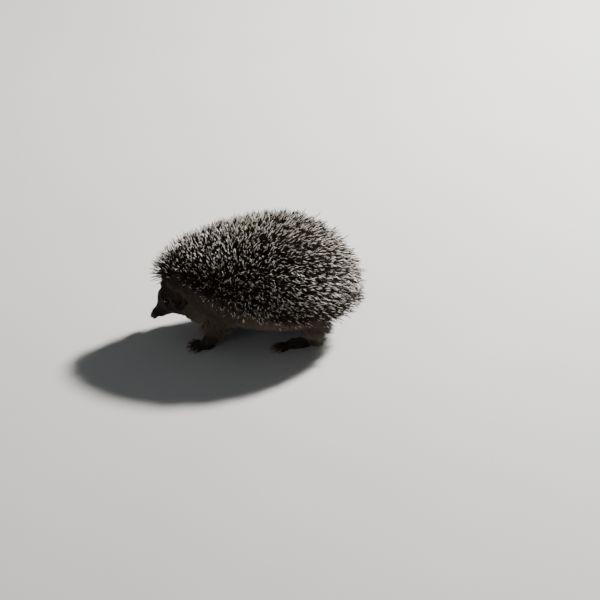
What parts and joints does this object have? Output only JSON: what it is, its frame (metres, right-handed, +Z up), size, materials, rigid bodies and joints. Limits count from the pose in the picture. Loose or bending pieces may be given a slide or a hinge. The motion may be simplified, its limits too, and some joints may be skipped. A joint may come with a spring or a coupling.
{
  "type": "hedgehog",
  "caption": "Life-size still model of a European hedgehog foraging on four feet, its back a dome of spines and its snout held low to the ground.",
  "frame": {"origin": "on the floor under the middle of the bounding box, in the plane of symmetry of the body", "axes": "+Z up; +X towards the rump, so the animal faces -X; +Y towards its right side"},
  "size_m": [0.225, 0.1466, 0.1366],
  "materials": {
    "spines": "stiff keratin spines, pale at the root and tip with a dark brown band between",
    "fur": "coarse grey-brown fur, paler on the cheeks and neck and darker round the eyes and muzzle",
    "dark_fur": "short dark brown fur",
    "paw_skin": "bare dark grey-brown pads with thin short fur on top",
    "nose": "moist black skin",
    "eyes": "polished black",
    "ear_skin": "thin grey-brown skin with sparse short fur",
    "claws": "worn brown horn"
  },
  "bodies": {
    "root": {"mantle": "spines", "trunk": "fur", "neck": "fur", "head": "fur", "jaw": "fur", "nose": "nose", "eye_left": "eyes", "eye_right": "eyes", "ear_left": "ear_skin", "ear_right": "ear_skin", "tail": "dark_fur", "leg_front_left": "dark_fur", "paw_front_left": "paw_skin", "claw_front_left_1": "claws", "claw_front_left_2": "claws", "claw_front_left_3": "claws", "claw_front_left_4": "claws", "claw_front_left_5": "claws", "leg_front_right": "dark_fur", "paw_front_right": "paw_skin", "claw_front_right_1": "claws", "claw_front_right_2": "claws", "claw_front_right_3": "claws", "claw_front_right_4": "claws", "claw_front_right_5": "claws", "leg_hind_left": "dark_fur", "paw_hind_left": "paw_skin", "claw_hind_left_1": "claws", "claw_hind_left_2": "claws", "claw_hind_left_3": "claws", "claw_hind_left_4": "claws", "claw_hind_left_5": "claws", "leg_hind_right": "dark_fur", "paw_hind_right": "paw_skin", "claw_hind_right_1": "claws", "claw_hind_right_2": "claws", "claw_hind_right_3": "claws", "claw_hind_right_4": "claws", "claw_hind_right_5": "claws"}
  },
  "joints": []
}
